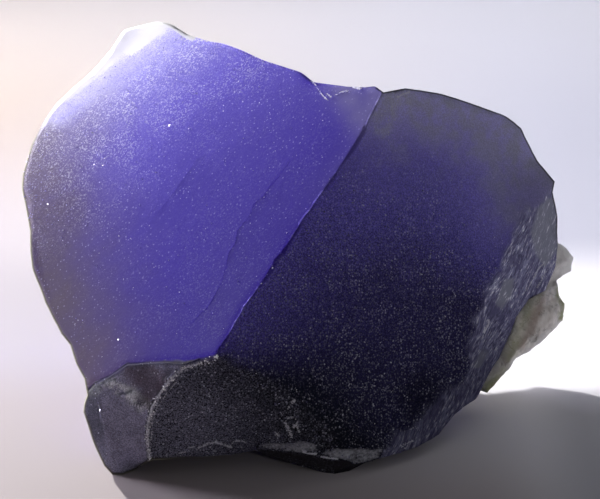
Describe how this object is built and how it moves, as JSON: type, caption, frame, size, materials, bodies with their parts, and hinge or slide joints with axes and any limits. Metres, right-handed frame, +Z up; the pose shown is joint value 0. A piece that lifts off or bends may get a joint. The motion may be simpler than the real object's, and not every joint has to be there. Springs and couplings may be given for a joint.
{
  "type": "fluorite crystal",
  "caption": "Broken hand specimen of frosted blue-violet fluorite, the corner of a large cube with a pale matrix crust on its back, for display on a flat base.",
  "frame": {"origin": "centre of the bounding box's footprint, on the table that the specimen rests on", "axes": "+Z up from the table, +X along the longest side, to the right as seen by a viewer who faces the crystal's nose and looks along +Y"},
  "size_m": [0.0854, 0.0656, 0.0528],
  "materials": {
    "fluorite": "frosted",
    "matrix": "rough"
  },
  "bodies": {
    "root": {"fluorite_crystal": "fluorite", "pale_matrix": "matrix"}
  },
  "joints": []
}
